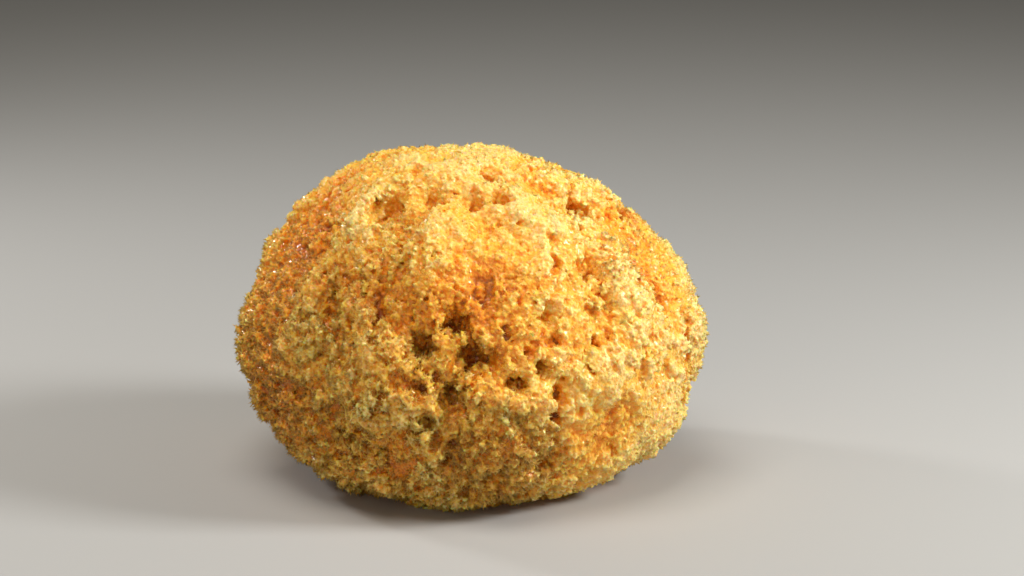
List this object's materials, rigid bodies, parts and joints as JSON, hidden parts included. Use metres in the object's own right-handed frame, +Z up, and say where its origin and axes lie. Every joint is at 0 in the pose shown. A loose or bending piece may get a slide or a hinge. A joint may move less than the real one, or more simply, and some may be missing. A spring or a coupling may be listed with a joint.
{
  "type": "natural sea sponge",
  "caption": "Rounded natural bath sponge: a lobed, porous dome of springy fibre skeleton, covered in fine tufts and cut flat underneath to stand on.",
  "frame": {"origin": "middle of the bounding box at the level of the flat cut underside that the sponge stands on", "axes": "+Z up out of the cut underside; X along the longest side, with +X to the right of the side that faces forwards; -Y is the front"},
  "size_m": [0.13, 0.12, 0.094],
  "materials": {
    "sponge_fibre": "damp golden-yellow fibre, paler at the tips of the tufts and deep amber in the pores, with a faint wet gloss"
  },
  "bodies": {
    "root": {"sponge": "sponge_fibre"}
  },
  "joints": []
}
